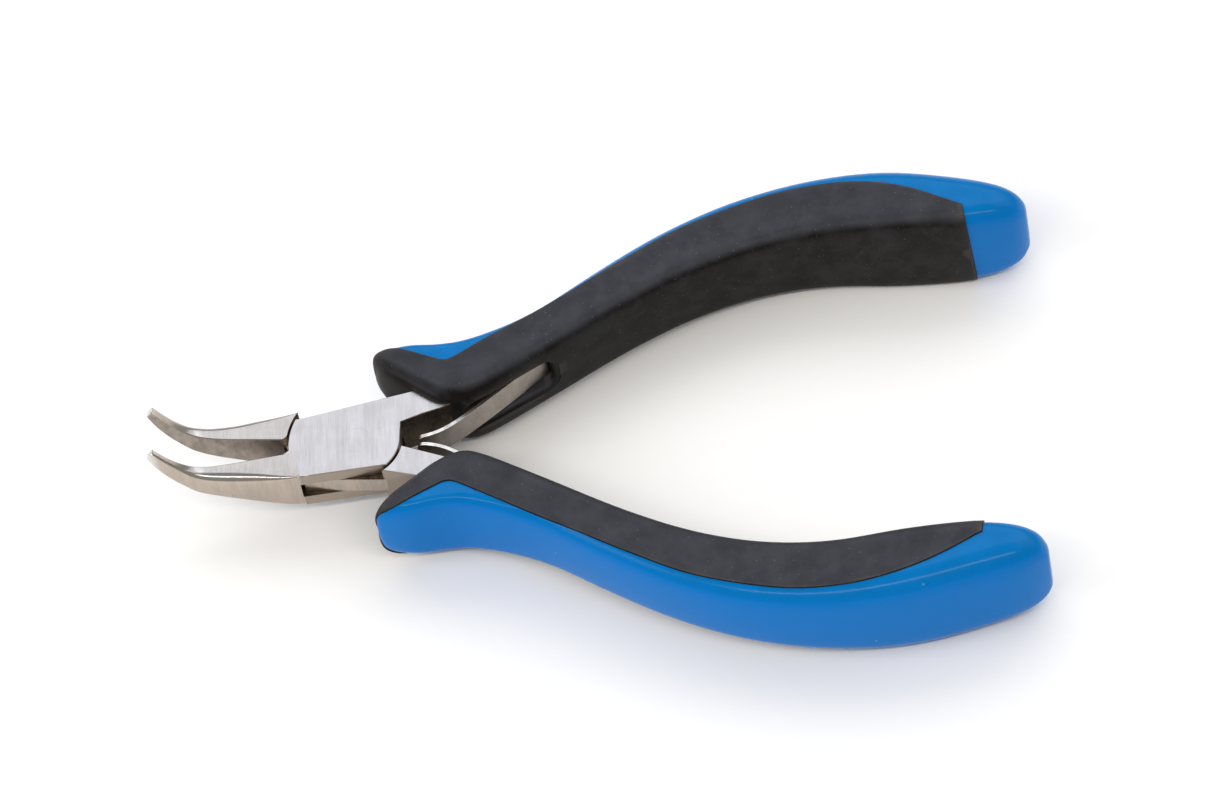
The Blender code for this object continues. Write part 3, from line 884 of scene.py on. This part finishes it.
# Grip sections: inner X, inner Y, outer X, outer Y, half height, inner rounding, outer rounding,
# and dish of the top and underside
gripSections = [
    (13.2, 3.5, 4.2, 12.0, 5.0, 2.0, 3.4, 0.0),
    (15.0, 3.2, 4.1, 13.6, 6.3, 2.2, 3.2, 0.0),
    (16.6, 3.0, 8.6, 13.8, 6.8, 2.2, 2.6, 0.1),
    (18.6, 3.5, 13.3, 12.7, 7.0, 2.2, 2.0, 0.15),
    (22.0, 4.9, 18.4, 12.8, 6.9, 2.0, 2.0, 0.2),
    (30.0, 8.5, 27.2, 15.4, 6.7, 1.8, 2.4, 0.2),
    (40.0, 13.0, 36.8, 20.4, 6.6, 1.8, 2.6, 0.2),
    (50.0, 16.6, 46.8, 25.1, 6.7, 1.8, 2.8, 0.2),
    (60.0, 18.6, 57.7, 28.4, 7.0, 1.8, 3.0, 0.2),
    (70.0, 18.8, 69.5, 29.5, 7.7, 1.9, 3.2, 0.2),
    (80.0, 17.3, 81.0, 28.2, 8.6, 2.0, 3.4, 0.2),
    (90.0, 15.8, 91.5, 25.0, 8.6, 2.4, 3.6, 0.1),
    (95.5, 15.6, 96.6, 22.9, 8.0, 2.8, 3.4, 0.0),
    (98.6, 16.4, 99.3, 21.0, 6.5, 2.2, 2.6, 0.0),
    (100.1, 17.8, 100.3, 19.8, 4.1, 0.8, 0.8, 0.0),
]

coreSections = gripSections[3:13]    # where the hard core fills the insert

# Rings in front of the first section that round the collar: size and how far each stands forward
collarCap = [(0.45, 0.75), (0.8, 0.6), (0.94, 0.35)]

# Edge between the soft insert and the hard shell, seen from above
insertEdge = [
    (2.4, 16.0), (4.5, 14.4), (8.4, 12.2), (12.2, 9.9), (14.0, 8.95), (15.8, 9.15),
    (20.5, 11.3), (31.5, 16.1), (41.2, 20.6), (51.0, 24.5), (62.5, 26.8), (70.5, 26.9),
    (77.3, 25.7), (84.0, 23.0), (grip["cut"], 18.5),
]

# Height and share of the wrap from the block's underside to its top
zoneLevels = [(-12, 0.0), (-6.5, 0.0), (-4.5, 0.6), (0, 1.0), (4.5, 0.6), (6.5, 0.0), (12, 0.0)]

slot = {
    "start": (15.9, 2.56), "end": (29.2, 8.18), "halfWidth": 2.75, "corner": 1.5, "deep": 2.9,
    "flare": 0.9, "rim": 0.15, "top": 2.0,    # rounding of the mouth, its height, and the cutter's top
}


def gripRing(values, inset):
    innerX, innerY, outerX, outerY, half, innerRound, outerRound, dish = values
    inner = Vector((innerX, innerY, 0))
    across = Vector((outerX, outerY, 0)) - inner
    width = across.length
    across.normalize()
    low, high, top = inset, width - inset, half - inset
    arcs = []
    for u, v, rounding, start in ((high, top, outerRound, 0), (low, top, innerRound, 90),
                                  (low, -top, innerRound, 180), (high, -top, outerRound, 270)):
        radius = min(max(rounding - inset, 0.5), width * 0.42)
        centreU, centreV = u - math.copysign(radius, u - width / 2), v - math.copysign(radius, v)
        turns = [math.radians(start + 18 * i) for i in range(6)]
        arcs.append([(centreU + radius * math.cos(a), centreV + radius * math.sin(a)) for a in turns])
    ring = []
    for index, arc in enumerate(arcs):
        ring += arc
        # three points to the next corner, dished on top and below, crowned on the sides
        begin, end = arc[-1], arcs[(index + 1) % 4][0]
        for share in (0.25, 0.5, 0.75):
            bow = math.sin(math.pi * share)
            u, v = (a + (b - a) * share for a, b in zip(begin, end))
            if index % 2:
                u += math.copysign(grip["crown"] * bow, u - width / 2)
            else:
                v -= math.copysign(dish * bow, v)
            ring.append((u, v))
    return [inner + across * u + Vector((0, 0, v)) for u, v in ring]


def gripRings(sections, inset):
    return [gripRing(values, inset) for values in smoothRun(sections, 3)]


def outerMesh(inset):
    rings = gripRings(gripSections, inset)
    centre = sum(rings[0], Vector()) / len(rings[0])
    forward = Vector(grip["front"])
    cap = [[centre + (point - centre) * size + forward * reach for point in rings[0]]
           for size, reach in collarCap]
    return loftMesh(cap + rings)


def coreMesh(inset):
    return loftMesh(gripRings(coreSections, inset))


def insertZone(shift, lean, wrap):
    # the insert's side of the edge, which the wrap draws round the front of the collar
    start = [(x - grip["wrapSlant"] * wrap * pull, y - wrap * pull)
             for (x, y), pull in zip(insertEdge, grip["wrapPulls"])]
    edge = sideStep(smoothRun(start + insertEdge[len(start):], 5), shift)
    end = grip["cut"] + shift + lean
    edge[-1] = (end, edge[-1][1])
    return [*edge, (end, 5.0), (0.0, -8.0), (0.0, 16.0)]


def zoneMesh(shift):
    # the cross cut leans over the whole height, the wrap is widest at the middle
    low, high = zoneLevels[0][0], zoneLevels[-1][0]
    rings = []
    for z, wrap in zoneLevels:
        lean = grip["cutLean"] * (high - z) / (high - low)
        rings.append([Vector((x, y, z)) for x, y in insertZone(shift, lean, wrap * grip["wrap"])])
    return loftMesh(rings)


def slotOutline(length, more):
    corner = slot["corner"] + more
    side = slot["halfWidth"] + more - corner
    centres = [(length - slot["corner"], side, 0), (slot["corner"], side, 90),
               (slot["corner"], -side, 180), (length - slot["corner"], -side, 270)]
    turns = [(x, y, math.radians(start + 15 * i)) for x, y, start in centres for i in range(7)]
    return [(x + corner * math.cos(turn), y + corner * math.sin(turn)) for x, y, turn in turns]


def slotMesh():
    # straight walls that flare out to a soft rim at the grip's face
    length = (Vector(slot["end"]) - Vector(slot["start"])).length
    place = faceFrame(slot["start"], slot["end"])
    flare = slot["flare"]
    turns = [math.radians(15 * i) for i in range(7)]
    levels = [(flare * (math.sin(a) - 1) + slot["rim"], flare * (1 - math.cos(a))) for a in turns]
    levels = [(-slot["deep"], 0.0), *levels, (slot["top"], flare)]
    rings = [[place @ Vector((x, y, z)) for x, y in slotOutline(length, more)] for z, more in levels]
    return loftMesh(rings)


def rootRoom():
    # space for the leaf's root and its rivet
    fit = pliers["fit"]
    side, low, high = leaf["halfWidth"] + fit, -leaf["roomBefore"], rootLength() + fit
    block = [(low, -side), (high, -side), (high, side), (low, side)]
    top = leaf["headLow"] + leaf["headRise"] + fit
    return prismMesh(block, -fit, top, faceFrame(leaf["rootStart"], leaf["rootEnd"]))


def cutRooms(piece, half):
    # for the neck, the tang, the leaf's root and the leaf's way out
    gap = pliers["seam"]
    neck, tang = pliers["steelHalf"] + gap, head["tangHalf"] + gap
    rooms = (prismMesh(growOutline(neckOutline(), gap), -neck, neck),
             prismMesh(tangOutline(gap), -tang, tang), rootRoom(), slotMesh())
    for room in rooms:
        combine(piece, "DIFFERENCE", room, half)


def smoothGrip(name, inset, half):
    piece = addMesh(name, outerMesh(inset), half)
    smoothing = piece.modifiers.new("Subdivision", "SUBSURF")
    smoothing.levels = smoothing.render_levels = 1
    applyStack(piece)
    return piece


def finishGrip(piece, half, finish, node):
    cutRooms(piece, half)
    piece.data.materials.append(finish)
    shadePiece(piece, 40)
    finishPiece(piece, half["body"], node)


def makeGrip(level):
    half = halves[level]
    proud, seam = grip["proud"] / 2, pliers["seam"]
    shell = smoothGrip(f"gripShell.{level}", proud, half)
    combine(shell, "DIFFERENCE", zoneMesh(seam / 2), half)
    combine(shell, "UNION", coreMesh(grip["skin"] + seam), half)
    finishGrip(shell, half, bluePlastic, f"grip_shell_{level}")
    insert = smoothGrip(f"gripInsert.{level}", -proud, half)
    combine(insert, "INTERSECT", zoneMesh(-seam / 2), half)
    combine(insert, "DIFFERENCE", coreMesh(grip["skin"]), half)
    finishGrip(insert, half, blackRubber, f"grip_insert_{level}")


for level in halves:
    makeGrip(level)
print("grips ready")
